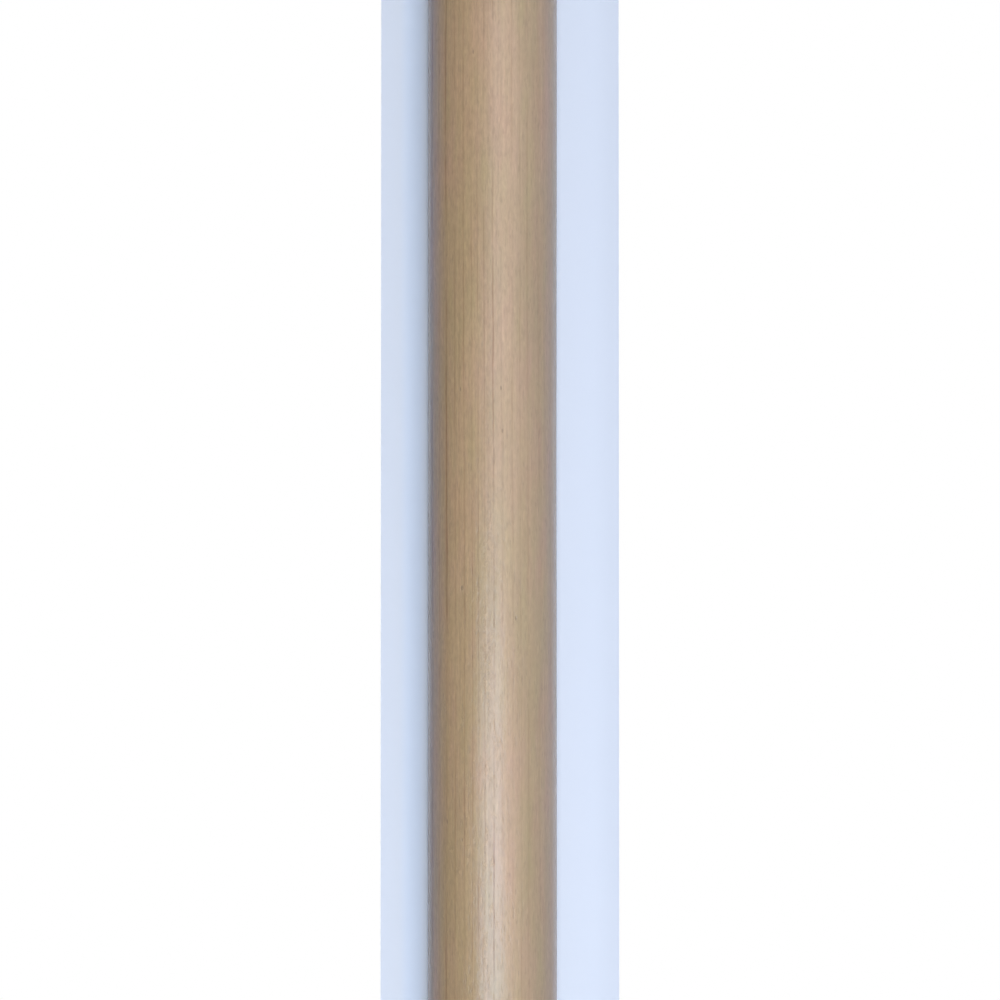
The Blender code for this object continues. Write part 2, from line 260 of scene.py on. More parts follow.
# ------------------------------------------------------------------ material building
class Graph:
    """A short way to write shader nodes. A value may be a number, a tuple or another node's socket."""

    def __init__(self, name):
        self.mat = bpy.data.materials.new(name)
        self.mat.use_nodes = True
        self.tree = self.mat.node_tree
        self.tree.nodes.clear()
        self.out = self.tree.nodes.new("ShaderNodeOutputMaterial")

    def put(self, socket, value):
        if isinstance(value, bpy.types.NodeSocket):
            self.tree.links.new(value, socket)
        elif value is not None:
            if hasattr(socket, "default_value") and hasattr(socket.default_value, "__len__"):
                if not hasattr(value, "__len__"):
                    value = (value,) * len(socket.default_value)
                elif len(socket.default_value) == 4 and len(value) == 3:
                    value = (*value, 1.0)
            socket.default_value = value

    def node(self, kind, inputs=None, out=0, **settings):
        made = self.tree.nodes.new("ShaderNode" + kind)
        for key, value in settings.items():
            setattr(made, key, value)
        for key, value in (inputs or {}).items():
            self.put(made.inputs[key], value)
        return made.outputs[out] if out is not None else made

    def math(self, op, *values, clamp=False):
        return self.node("Math", dict(enumerate(values)), operation=op, use_clamp=clamp)

    def add(self, a, b):
        return self.math("ADD", a, b)

    def sub(self, a, b):
        return self.math("SUBTRACT", a, b)

    def mul(self, a, b):
        return self.math("MULTIPLY", a, b)

    def vec(self, x=0.0, y=0.0, z=0.0):
        return self.node("CombineXYZ", {0: x, 1: y, 2: z})

    def parts(self, vector):
        made = self.node("SeparateXYZ", {0: vector}, out=None)
        return made.outputs[0], made.outputs[1], made.outputs[2]

    def noise(self, vector, scale=1.0, detail=2.0, rough=0.5, dims="3D", w=0.0, distort=0.0):
        made = self.node("TexNoise", {"Scale": scale, "Detail": detail, "Roughness": rough,
                                      "Distortion": distort}, out=None, noise_dimensions=dims)
        if dims != "1D":
            self.put(made.inputs["Vector"], vector)
        if dims in ("1D", "4D"):
            self.put(made.inputs["W"], w)
        return made.outputs[0]

    def span(self, value, a, b, c=0.0, d=1.0, smooth=True):
        return self.node("MapRange", {"Value": value, "From Min": a, "From Max": b, "To Min": c, "To Max": d},
                         interpolation_type="SMOOTHSTEP" if smooth else "LINEAR", clamp=True)

    def mix(self, factor, a, b, blend="MIX"):
        made = self.tree.nodes.new("ShaderNodeMix")
        made.data_type, made.blend_type = "RGBA", blend
        self.put(made.inputs[0], factor)
        self.put(made.inputs[6], a)
        self.put(made.inputs[7], b)
        return made.outputs[2]

    def tint(self, color, factor):
        """A color multiplied by a number."""
        made = self.node("VectorMath", {0: color}, out=None, operation="SCALE")
        self.put(made.inputs["Scale"], factor)
        return made.outputs[0]

    def times(self, color, other):
        return self.node("VectorMath", {0: color, 1: other}, operation="MULTIPLY")

    def bump(self, height, distance, strength=1.0, normal=None):
        inputs = {"Height": height, "Distance": distance, "Strength": strength}
        if normal is not None:
            inputs["Normal"] = normal
        return self.node("Bump", inputs)

    def principled(self, **values):
        made = self.tree.nodes.new("ShaderNodeBsdfPrincipled")
        for key, value in values.items():
            self.put(made.inputs[key.replace("_", " ")], value)
        self.tree.links.new(made.outputs[0], self.out.inputs[0])
        return made

    def mm(self):
        """Rest position in the row frame, in millimetres."""
        place = self.node("TexCoord", out=None).outputs["Object"]
        return self.node("VectorMath", {0: place, 1: (1000.0,) * 3}, operation="MULTIPLY")


def wood(name, turn, offset, pith, seed, seam=0.0, bands=()):
    """Straight-grained light hardwood under a clear satin lacquer. The growth rings are wide arcs about a pith
    far off to one side, so they cross the front as fine upright lines and open into broad figure at the sides.
    bands lists growth layers with a tint of their own, each (distance across the grain, half width, tint). seam is
    the growth line where the grain has lifted most under the lacquer, in a thin ridge with small curls along it; a
    painted highlight and painted shade are laid into the colour along the ridge and on the curls."""
    g = Graph(name)
    place = g.node("VectorRotate", {"Vector": g.mm(), "Axis": (0, 0, 1), "Angle": turn})
    x, y, z = g.parts(place)
    z = g.add(z, offset)

    def stretched(across, along, shift=0.0, **kind):
        """Noise with its features drawn out along the pole. across and along are features per millimetre."""
        return g.noise(g.vec(g.mul(x, across), g.mul(y, across), g.add(g.mul(z, along), shift + seed)), **kind)

    # slow wander of the grain along the pole, and two finer wobbles
    slow = g.sub(stretched(0.05, 0.0045, detail=1.0), 0.5)
    fine = g.sub(stretched(0.45, 0.03, detail=2.0), 0.5)
    shake = g.sub(stretched(0.9, 0.16, 5.0, detail=1.0), 0.5)
    from_pith = g.math("SQRT", g.add(g.math("POWER", g.add(x, pith), 2.0), g.math("POWER", y, 2.0)))
    u = g.add(g.add(g.sub(from_pith, pith), g.mul(shake, 0.20)), g.add(g.mul(slow, 1.4), g.mul(fine, 0.26)))
    uneven = g.sub(g.noise(None, scale=0.17, detail=1.0, dims="1D", w=g.add(u, seed)), 0.5)
    phase = g.add(g.math("DIVIDE", u, 1.52), g.mul(uneven, 1.5))
    ring = g.math("FLOOR", phase)
    part = g.math("FRACT", phase)

    def growth(salt, lo, rise, fall, hi, least):
        """A dark line within each ring, its strength changing from ring to ring and along the pole."""
        weight = g.node("TexWhiteNoise", {"W": g.add(ring, seed * 1.37 + salt)}, noise_dimensions="1D")
        along = g.noise(g.vec(g.mul(ring, 3.1), seed + salt, g.mul(z, 0.045)), detail=3.0, rough=0.6)
        shape = g.mul(g.span(part, lo, rise), g.span(part, fall, hi, 1.0, 0.0))
        return g.mul(shape, g.mul(g.span(weight, 0.0, 1.0, least, 1.0, False), g.span(along, 0.36, 0.62, 0.15, 1.2)))

    line = growth(0.0, 0.72, 0.87, 0.90, 0.97, 0.12)
    thin = growth(7.3, 0.24, 0.33, 0.36, 0.47, -0.9)
    thin = g.math("MAXIMUM", thin, 0.0)
    early = g.mul(g.span(part, 0.02, 0.12), g.span(part, 0.12, 0.4, 1.0, 0.0))

    # fibres, short dark vessels, flecks, light dashes and pin-sized pits
    fibre = g.sub(stretched(2.6, 0.045, detail=3.0, rough=0.6), 0.5)
    thread_line = g.span(stretched(2.3, 0.022, 13.0, detail=1.0), 0.60, 0.70)
    mottle = g.sub(stretched(0.8, 0.17, detail=4.0, rough=0.65), 0.5)
    fleck = g.sub(stretched(2.5, 0.62, 3.0, detail=2.0, rough=0.7), 0.5)
    vessel = g.span(stretched(2.9, 0.50, detail=1.0), 0.58, 0.70)
    dash = g.span(stretched(3.3, 0.36, 31.0, detail=1.0), 0.60, 0.72)
    pits = g.node("TexVoronoi", {"Vector": g.vec(g.mul(x, 0.40), g.mul(y, 0.40), g.mul(z, 0.15)), "Scale": 1.0}, out=None)
    pit = g.mul(g.span(pits.outputs["Distance"], 0.035, 0.085, 1.0, 0.0),
                g.span(g.parts(pits.outputs["Color"])[0], 0.55, 0.60))

    # the seam: a thin raised ridge and small curls of lifted grain beside it, with a painted highlight and painted
    # shade laid into the colour along the ridge and on each curl
    off_seam = g.sub(u, seam)
    toward_foot = g.span(z, 580.0, 632.0, 1.0, 0.22)           # the seam and its curls, painted highlight and shade included, are stronger towards the foot of the section
    fades = g.mul(toward_foot, g.span(stretched(0.0, 0.030, 47.0, detail=3.0), 0.36, 0.60, 0.30, 1.0))
    ridge_and_painted_highlight = g.mul(g.span(g.math("ABSOLUTE", g.add(off_seam, 0.30)), 0.10, 0.38, 1.0, 0.0), fades)
    painted_shade_line = g.mul(g.span(g.math("ABSOLUTE", g.sub(off_seam, 0.20)), 0.04, 0.26, 1.0, 0.0), fades)
    squiggle = stretched(1.35, 0.80, 53.0, detail=1.0)
    beside = g.mul(g.span(g.math("ABSOLUTE", off_seam), 0.5, 1.1, 1.0, 0.0),
                   g.span(stretched(0.5, 0.11, 59.0, detail=2.0), 0.48, 0.56))
    strays = g.mul(g.span(stretched(0.8, 0.24, 67.0, detail=1.0), 0.62, 0.69), g.span(u, 0.5, 3.5, 1.0, 0.25))
    beside = g.mul(toward_foot, g.math("MAXIMUM", beside, strays))
    curl_and_painted_highlight = g.mul(g.span(g.math("ABSOLUTE", g.sub(squiggle, 0.47)), 0.02, 0.075, 1.0, 0.0), beside)
    curl_painted_shade = g.mul(g.span(g.math("ABSOLUTE", g.sub(squiggle, 0.57)), 0.02, 0.075, 1.0, 0.0), beside)

    blotch = stretched(0.10, 0.020, detail=3.0)
    cloud = g.sub(stretched(0.045, 0.009, 7.0, detail=2.0), 0.5)
    rosy = g.sub(stretched(0.42, 0.075, 17.0, detail=2.0, rough=0.6), 0.5)
    green = g.sub(stretched(0.36, 0.060, 41.0, detail=2.0, rough=0.6), 0.5)

    color = g.mix(g.span(blotch, 0.3, 0.7), WOOD_OLIVE, WOOD_PINK)
    for where, half, tint in bands:
        off = g.math("ABSOLUTE", g.sub(g.add(u, g.mul(rosy, 2.0)), where))
        color = g.mix(g.span(off, half * 0.5, half * 1.5, 0.9, 0.0), color, g.times(color, tint))
    hue = g.node("VectorMath", {0: g.tint(ROSY_SHIFT, rosy), 1: g.tint(GREEN_SHIFT, green)}, operation="ADD")
    color = g.times(color, g.node("VectorMath", {0: hue, 1: (1.0, 1.0, 1.0)}, operation="ADD"))
    calm = g.span(u, 1.0, 7.0, 1.0, 0.38)      # quieter growth layers towards one side
    dark = g.add(g.mul(line, LINE_DEPTH), g.add(g.mul(thin, THIN_DEPTH), g.mul(thread_line, 0.11)))
    dark = g.math("MINIMUM", g.mul(dark, calm), 1.0)
    color = g.mix(dark, color, g.times(color, LATE_TINT))
    value = g.add(1.0, g.mul(fibre, 0.19))
    value = g.add(value, g.mul(mottle, 0.13))
    value = g.add(value, g.mul(g.mul(fleck, FLECK), g.add(0.25, g.mul(calm, 0.75))))
    value = g.add(value, g.mul(cloud, 0.16))
    value = g.add(value, g.mul(early, 0.030))
    value = g.sub(value, g.mul(vessel, 0.085))
    value = g.add(value, g.mul(dash, 0.075))
    value = g.sub(value, g.mul(pit, 0.27))
    # painted highlight along the seam's ridge and a painted shade line beside it
    value = g.add(value, g.sub(g.mul(ridge_and_painted_highlight, 0.075), g.mul(painted_shade_line, 0.040)))
    # painted highlight and painted shade on the two sides of each curl
    value = g.add(value, g.sub(g.mul(curl_and_painted_highlight, 0.085), g.mul(curl_painted_shade, 0.080)))
    color = g.tint(color, value)

    # bare, darker wood inside the holes and on the tenons
    nx, ny, nz = g.parts(g.mm())
    radius = g.math("SQRT", g.add(g.mul(nx, nx), g.mul(ny, ny)))
    bare = g.span(radius, WOOD_R - 0.55, WOOD_R - 0.30, 1.0, 0.0)
    color = g.mix(bare, color, g.times(color, (0.62, 0.56, 0.50)))

    relief = g.add(g.add(g.mul(fibre, 0.8), g.mul(line, -0.5)), g.add(g.mul(vessel, -0.5), g.mul(pit, -2.0)))
    under = g.bump(relief, 0.012 * MM)
    peel = stretched(0.55, 0.10, 2.0, detail=3.0, rough=0.55)
    nibs = g.span(stretched(2.0, 0.85, 23.0, detail=2.0), 0.56, 0.74)
    raised = g.add(g.mul(fleck, 0.9), g.sub(g.mul(nibs, 0.60), g.add(g.mul(line, 0.35), g.add(g.mul(vessel, 0.7), g.mul(pit, 1.6)))))
    raised = g.add(raised, g.add(g.mul(ridge_and_painted_highlight, RIDGE), g.mul(curl_and_painted_highlight, CURL)))
    film = g.bump(g.add(g.mul(peel, 1.0), g.mul(raised, FILM)), 0.030 * MM)
    handled = stretched(0.12, 0.03, 9.0, detail=4.0, rough=0.6)
    facing = g.node("LayerWeight", {"Blend": 0.5}, out=None).outputs["Facing"]
    thin_film = g.span(facing, 0.78, 0.96, 1.0, 0.30)      # the film dulls at the very edge of the pole
    g.principled(Base_Color=color, Roughness=g.span(mottle, -0.3, 0.3, 0.46, 0.60, False), Normal=under,
                 Specular_IOR_Level=0.35, Coat_Weight=g.mul(g.mul(g.sub(1.0, g.mul(bare, 0.85)), thin_film), COAT),
                 Coat_Roughness=g.span(handled, 0.3, 0.7, COAT_ROUGH - 0.04, COAT_ROUGH + 0.05),
                 Coat_IOR=1.5, Coat_Normal=film)
    return g.mat


WOOD_OLIVE = (0.442, 0.313, 0.183)
WOOD_PINK = (0.482, 0.327, 0.203)
LATE_TINT = (0.69, 0.57, 0.48)
OLIVE = (0.955, 0.955, 0.88)
STRAW = (1.0, 0.995, 0.940)
SAGE = (0.985, 1.035, 1.040)
ROSY_SHIFT = (0.10, -0.07, 0.08)
GREEN_SHIFT = (-0.05, 0.07, -0.16)
LINE_DEPTH, THIN_DEPTH, FLECK, FILM = 0.74, 0.23, 0.45, 1.18
RIDGE, CURL = 0.6, 1.1
COAT, COAT_ROUGH = 0.80, 0.19


def cast_alloy(name, shoulder=None):
    """Grey die-cast alloy: a fine orange-peel skin, rubbed bright on its edges, with painted shade in its hollows
    and creases and painted shade with oil in the thread's root.
    """
    g = Graph(name)
    p = g.mm()
    x, y, z = g.parts(p)
    radius = g.math("SQRT", g.add(g.mul(x, x), g.mul(y, y)))
    skin = g.noise(p, scale=1.7, detail=4.0, rough=0.6)
    grain = g.noise(p, scale=7.0, detail=2.0)
    cloud = g.noise(p, scale=0.16, detail=3.0)
    rub = g.noise(g.vec(g.mul(x, 0.9), g.mul(y, 0.9), g.mul(z, 0.12)), detail=4.0, rough=0.7)
    edge = g.span(g.node("NewGeometry", out=None).outputs["Pointiness"], 0.505, 0.56)
    # painted shade: a mask of the hollow places, creases and the thread's root
    groove = g.span(g.node("NewGeometry", out=None).outputs["Pointiness"], 0.42, 0.495, 1.0, 0.0)
    color = g.mix(g.span(cloud, 0.3, 0.7), (0.400, 0.402, 0.400), (0.500, 0.498, 0.488))
    color = g.tint(color, g.add(0.90, g.mul(skin, 0.20)))
    color = g.mix(g.mul(edge, g.span(rub, 0.35, 0.65, 0.25, 0.9)), color, (0.72, 0.72, 0.71))
    # painted shade laid into the hollows
    color = g.mix(g.mul(groove, 0.75), color, (0.10, 0.095, 0.085))
    if shoulder is not None:
        up = g.sub(z, shoulder)
        on_thread = g.span(up, 0.1, 0.6)
        # painted shade, with some oil, darkening the thread's root
        root_oil_and_painted_shade = g.mul(g.span(radius, MINOR_R + 0.1, MINOR_R + 1.3, 1.0, 0.0), on_thread)
        crest = g.mul(g.span(radius, MAJOR_R - 0.35, MAJOR_R - 0.05), on_thread)
        color = g.mix(g.mul(root_oil_and_painted_shade, g.span(rub, 0.3, 0.7, 0.35, 0.75)), color, (0.13, 0.125, 0.115))
        color = g.mix(g.mul(crest, g.span(rub, 0.35, 0.65, 0.2, 0.8)), color, (0.74, 0.74, 0.73))
    rough = g.add(g.span(skin, 0.3, 0.7, 0.36, 0.50), g.mul(edge, -0.10))
    bump = g.bump(g.add(g.mul(skin, 1.0), g.mul(grain, 0.35)), 0.035 * MM)
    g.principled(Base_Color=color, Metallic=1.0, Roughness=rough, Normal=bump, Specular_IOR_Level=0.5)
    return g.mat


def plated_steel(name):
    """Rolled steel tube with a thin bright zinc plating: faint round-the-tube polish, soft handling streaks,
    duller clouded patches, and a dull line of rust-brown grime along its edges."""
    g = Graph(name)
    p = g.mm()
    x, y, z = g.parts(p)
    cloud = g.noise(p, scale=0.14, detail=4.0, rough=0.6)
    spangle = g.noise(p, scale=0.9, detail=3.0, rough=0.6)
    turned = g.noise(g.vec(g.mul(x, 0.15), g.mul(y, 0.15), g.mul(z, 9.0)), detail=2.0)
    streak = g.noise(g.vec(g.mul(x, 2.6), g.mul(y, 2.6), g.mul(z, 0.07)), detail=3.0, rough=0.6)
    streak = g.span(streak, 0.46, 0.74)
    geo = g.node("NewGeometry", out=None).outputs["Pointiness"]
    edge = g.span(geo, 0.505, 0.55)
    groove = g.span(geo, 0.44, 0.496, 1.0, 0.0)
    color = g.mix(g.span(cloud, 0.25, 0.75), (0.560, 0.566, 0.574), (0.620, 0.620, 0.616))
    color = g.tint(color, g.add(0.93, g.add(g.mul(turned, 0.08), g.mul(spangle, 0.06))))
    color = g.mix(g.mul(streak, 0.30), color, (0.74, 0.74, 0.74))
    color = g.mix(g.mul(groove, 0.7), color, (0.16, 0.13, 0.10))
    color = g.mix(g.mul(edge, 0.5), color, (0.80, 0.79, 0.77))
    rough = g.add(g.span(cloud, 0.25, 0.75, 0.27, 0.33), g.add(g.mul(streak, 0.07), g.mul(spangle, 0.06)))
    height = g.add(g.mul(turned, 0.20), g.sub(g.mul(spangle, 0.10), g.mul(streak, 0.30)))
    g.principled(Base_Color=color, Metallic=1.0, Roughness=rough, Normal=g.bump(height, 0.014 * MM),
                 Anisotropic=0.35)
    return g.mat


def soft_black(name, base, rough, dust, bumpy, foot=None):
    """Dark rubber or vinyl with a faint moulded texture, dull dusty patches and pale scuffs."""
    g = Graph(name)
    p = g.mm()
    x, y, z = g.parts(p)
    pebble = g.noise(p, scale=2.6, detail=3.0, rough=0.55)
    cloud = g.noise(p, scale=0.12, detail=5.0, rough=0.55)
    speck = g.span(g.noise(p, scale=1.5, detail=4.0, rough=0.75), 0.56, 0.70)
    dusty = g.add(g.mul(g.span(cloud, 0.30, 0.75), dust), g.mul(speck, dust * 0.5))
    scuff = g.noise(g.vec(g.mul(x, 0.8), g.mul(y, 0.8), g.mul(z, 3.2)), detail=3.0, rough=0.7)
    scuff = g.span(scuff, 0.60, 0.70)
    geo = g.node("NewGeometry", out=None).outputs["Pointiness"]
    edge = g.span(geo, 0.505, 0.56)
    wear = g.mul(edge, g.span(cloud, 0.35, 0.6, 0.2, 0.8))
    if foot is not None:
        near = g.span(z, foot, foot + 9.0, 1.0, 0.0)
        wear = g.add(wear, g.mul(near, g.mul(scuff, 0.55)))
        dusty = g.add(dusty, g.mul(near, 0.10))
    color = g.mix(dusty, base, (0.22, 0.205, 0.18))
    color = g.mix(g.math("MINIMUM", g.mul(wear, 0.6), 1.0), color, (0.16, 0.155, 0.15))
    g.principled(Base_Color=color, Roughness=g.add(g.mul(dusty, 0.8), g.span(cloud, 0.3, 0.7, rough - 0.06, rough + 0.08)),
                 Normal=g.bump(g.add(g.mul(pebble, 1.0), g.mul(scuff, -0.4)), bumpy * MM), Specular_IOR_Level=0.42)
    return g.mat


# ------------------------------------------------------------------ the pieces
def wood_shape(seed, dents=()):
    """Slight ovality and waviness of a turned pole, and shallow dents, on the lacquered surface only."""
    def shape(x, y, z):
        r = math.hypot(x, y)
        if r < WOOD_R - 0.5:
            return x, y, z
        a = math.atan2(y, x)
        d = 0.045 * noise.noise(Vector((x * 0.045, y * 0.045, z * 0.016 + seed)))
        d += 0.022 * noise.noise(Vector((x * 0.22, y * 0.22, z * 0.028 + seed)))
        d += 0.03 * math.cos(2 * a + seed + z * 0.004)
        for da, dz, size, depth in dents:
            off = (a - da + math.pi) % TAU - math.pi
            s = math.hypot(off * WOOD_R / size, (z - dz) / (size * 1.4))
            if s < 1:
                d -= depth * (1 - s * s) ** 2
        return x * (r + d) / r, y * (r + d) / r, z
    return shape


def shaft(node, mat, shoulder, holes, seed, sleeve_top=None, dents=()):
    foot = span(node)[0]
    rim, top = shoulder - SKIRT_LEN, shoulder - TIP_SOCKET_TOP - 0.5
    corners = [(TIP_TENON_R - 1.0, top, 0), (TIP_TENON_R, top - 1.0, 0.4), (TIP_TENON_R, rim - 0.3, 0.15),
               (WOOD_R, rim - 0.3, 0.5)]
    if sleeve_top is None:
        corners += [(WOOD_R, foot + 3.0, 4.0), (WOOD_R - 4.0, foot, 0.8), (0.6, foot, 0)]
    else:
        corners += [(WOOD_R, sleeve_top + 0.3, 0.5), (SOCKET_TENON_R, sleeve_top + 0.3, 0.15),
                    (SOCKET_TENON_R, foot + 1.0, 0.4), (SOCKET_TENON_R - 1.0, foot, 0)]
    profile = refine(fillets(corners), 1.6)
    shell, angles = Shell(), even(144)
    first = shell.ring(*profile[0], angles)
    last = shell.chain(first, profile[1:], angles)
    shell.cap(first, profile[0][1])
    shell.cap(last, profile[-1][1])
    return piece(node, shell, mat, wood_shape(seed, dents), holes)


# angles round a casting, closer together at its two parting lines
CAST_ANGLES = sorted({round(a, 6) for a in even(96)} | {
    round((k * math.pi + s * d) % TAU, 6) for k in (0, 1) for s in (-1, 1) for d in (0.008, 0.018, 0.030, 0.046)})


def parting(strength):
    """A faint raised line up both sides of a casting, where the two halves of the die met."""
    def lift(a):
        off = min(abs((a + k * math.pi + math.pi) % TAU - math.pi) for k in (0, 1))
        return strength * max(0.0, 1 - (off / 0.028) ** 2) ** 1.5 if off < 0.028 else 0.0
    return lift


def tip(node, mat, shoulder):
    crest = CREST_W / 2
    root = crest + (MAJOR_R - MINOR_R) * math.tan(FLANK)
    middle = THREAD_START + (PITCH - 2 * root) / 2 + root
    section = fillets([(MINOR_R, THREAD_START, 0), (MINOR_R, middle - root, 0.35), (MAJOR_R, middle - crest, 0.38),
                       (MAJOR_R, middle + crest, 0.38), (MINOR_R, middle + root, 0.35),
                       (MINOR_R, THREAD_START + PITCH, 0)])
    section = refine(section, 0.7)
    shell = Shell()
    angles = CAST_ANGLES
    lower, upper = thread(shell, section, MINOR_R, THREAD_TURNS, 0.45, angles, shoulder)
    ring = flare(shell, lower, MINOR_R - RELIEF + 0.1, shoulder + 0.22, angles)
    outline = refine(fillets([
        (MINOR_R - RELIEF + 0.1, shoulder + 0.22, 0), (MINOR_R + 0.2, shoulder, 0.2), (COLLAR_R, shoulder, 0.55),
        (COLLAR_R, shoulder - COLLAR_H + 0.15, 0.3), (SKIRT_R, shoulder - COLLAR_H, 0.25),
        (SKIRT_R, shoulder - SKIRT_LEN, 0.75), (TIP_SOCKET_R, shoulder - SKIRT_LEN, 0.25),
        (TIP_SOCKET_R, shoulder - TIP_SOCKET_TOP, 0.4), (1.0, shoulder - TIP_SOCKET_TOP, 0)]), 1.2)
    ring = shell.chain(ring, outline[1:], angles)
    shell.cap(ring, shoulder - TIP_SOCKET_TOP)
    end = shoulder + THREAD_LEN
    ring = flare(shell, upper, MINOR_R - RELIEF, end - 0.75, angles)
    ring = shell.chain(ring, fillets([(MINOR_R - RELIEF, end - 0.75, 0), (MINOR_R - RELIEF, end, 0.65),
                                      (1.0, end, 0)])[1:], angles)
    shell.cap(ring, end)

    lift = parting(0.085)

    def shape(x, y, z):
        r = math.hypot(x, y)
        d = 0.02 * noise.noise(Vector((x * 0.2, y * 0.2, z * 0.2)))
        if r > SKIRT_R - 0.2 and z < shoulder - 0.6:
            d += lift(math.atan2(y, x))
        elif r < MINOR_R - 0.6 and z > end - 0.01:     # shallow centre mark in the thread's end
            return x, y, z - 0.45 * max(0.0, 1 - (r / 2.6) ** 2)
        return (x * (r + d) / r, y * (r + d) / r, z) if r > 1.5 else (x, y, z)

    hole = cross_hole(PIN_HOLE_R, shoulder - 23.0, SKIRT_R, 0.22)
    return piece(node, shell, mat, shape, [hole])


def insert(node, mat, shoulder):
    lo, hi = span(node)
    groove = CREST_W / 2 - (GROOVE_R - MAJOR_R) * math.tan(FLANK) + PLAY
    land = groove + (GROOVE_R - INSERT_BORE_R) * math.tan(FLANK)
    root = CREST_W / 2 + (MAJOR_R - MINOR_R) * math.tan(FLANK)
    tooth = THREAD_START + (PITCH - 2 * root) / 2 + root
    foot = lo - shoulder
    start = tooth - PITCH * math.floor((tooth - foot - 0.3) / PITCH)
    section = refine(fillets([
        (GROOVE_R, start, 0), (GROOVE_R, start + groove, 0.25), (INSERT_BORE_R, start + land, 0.3),
        (INSERT_BORE_R, start + PITCH - land, 0.3), (GROOVE_R, start + PITCH - groove, 0.25),
        (GROOVE_R, start + PITCH, 0)]), 0.7)
    shell, angles = Shell(), even(96)
    lower, upper = thread(shell, section, GROOVE_R, INSERT_TURNS, 0.35, angles, shoulder)
    a = flare(shell, lower, GROOVE_R + RELIEF, lo + 0.35, angles)
    b = flare(shell, upper, GROOVE_R + RELIEF, hi - 0.35, angles)
    outline = fillets([(GROOVE_R + RELIEF, hi - 0.35, 0), (GROOVE_R + RELIEF + 0.35, hi, 0.15), (INSERT_R, hi, 0.4),
                       (INSERT_R, lo, 0.4), (GROOVE_R + RELIEF + 0.35, lo, 0.15), (GROOVE_R + RELIEF, lo + 0.35, 0)])
    b = shell.chain(b, refine(outline, 1.5)[1:-1], angles)
    shell.strip(b, a)
    return piece(node, shell, mat)


def sleeve(node, mat):
    lo, hi = span(node)
    corners = [(SLEEVE_BORE_R, hi, 0.25), (SLEEVE_R, hi, 0.45), (SLEEVE_R, lo, 0.5), (SLEEVE_BORE_R, lo, 0.35)]
    outline = fillets(corners, closed=True)
    dimple_z, bead_z = lo + 13.5, hi - 5.0
    rows = []
    for (r0, z0), (r1, z1) in zip(outline, outline[1:] + outline[:1]):
        length = math.hypot(r1 - r0, z1 - z0)
        outer = min(r0, r1) > SLEEVE_R - 0.2 and length > 5
        cuts = max(1, math.ceil(length / (0.42 if outer else 2.2)))
        rows += [(r0 + (r1 - r0) * k / cuts, z0 + (z1 - z0) * k / cuts) for k in range(cuts)]
    shell, angles = Shell(), even(180)
    first = shell.ring(*rows[0], angles)
    last = shell.chain(first, rows[1:], angles)
    shell.strip(last, first)

    def shape(x, y, z):
        r, a = math.hypot(x, y), math.atan2(y, x)
        d = 0.015 * noise.noise(Vector((x * 0.15, y * 0.15, z * 0.08 + 3.0)))
        if r > SLEEVE_R - 0.3:
            # a rolled bead that grips the wood, four staked dimples that hold the insert, and the tube's seam
            d -= 0.30 * math.exp(-((z - bead_z) / 0.62) ** 2)
            for k in range(4):
                off = (a - math.pi / 4 - k * math.pi / 2 + math.pi) % TAU - math.pi
                s = math.hypot(off * SLEEVE_R, z - dimple_z) / 1.9
                if s < 1.35:
                    d += -0.42 * max(0.0, 1 - s * s) ** 1.3 + 0.035 * math.exp(-((s - 1.08) / 0.16) ** 2)
            off = (a - math.radians(152) + math.pi) % TAU - math.pi
            d -= 0.055 * math.exp(-(off * SLEEVE_R / 0.42) ** 2)
        return x * (r + d) / r, y * (r + d) / r, z

    hole = cross_hole(PIN_HOLE_R, lo + 44.0, SLEEVE_R, 0.2)
    return piece(node, shell, mat, shape, [hole])


def pin(node, mat, seed):
    lo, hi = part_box(node)
    half = (hi.y - lo.y) / 2 / MM
    z = (lo.z + hi.z) / 2 / MM
    side = fillets([(0.25, half + 0.03, 0), (1.15, half - 0.02, 1.6), (PIN_R + 0.09, half - 0.30, 0.18),
                    (PIN_R, half - 0.95, 0.4), (PIN_R, 0.0, 0)])
    side = refine(side, 0.45)[:-1]
    rows = side + [(PIN_R, 0.0)] + [(r, -h) for r, h in reversed(side)]
    shell, angles = Shell(), even(40)
    first = shell.ring(*rows[0], angles)
    last = shell.chain(first, rows[1:], angles)
    shell.cap(first, rows[0][1])
    shell.cap(last, rows[-1][1])

    def shape(x, y, h):
        if abs(h) > half - 0.5:      # hammered ends
            h += 0.07 * noise.noise(Vector((x * 1.1 + seed, y * 1.1, math.copysign(2.0, h))))
        return x, h, z - y
    return piece(node, shell, mat, shape)


def washer(node, mat):
    lo, hi = span(node)
    rows = refine(fillets([(WASHER_R, hi, 0.4), (WASHER_R, lo, 0.4), (WASHER_BORE_R, lo, 0.3),
                           (WASHER_BORE_R, hi, 0.3)], closed=True), 0.5, closed=True)
    shell, angles = Shell(), even(128)
    first = shell.ring(*rows[0], angles)
    last = shell.chain(first, rows[1:], angles)
    shell.strip(last, first)

    def shape(x, y, z):
        r = math.hypot(x, y)
        d = 0.05 * noise.noise(Vector((x * 0.35, y * 0.35, z)))
        return x * (r + d) / r, y * (r + d) / r, z
    return piece(node, shell, mat, shape)


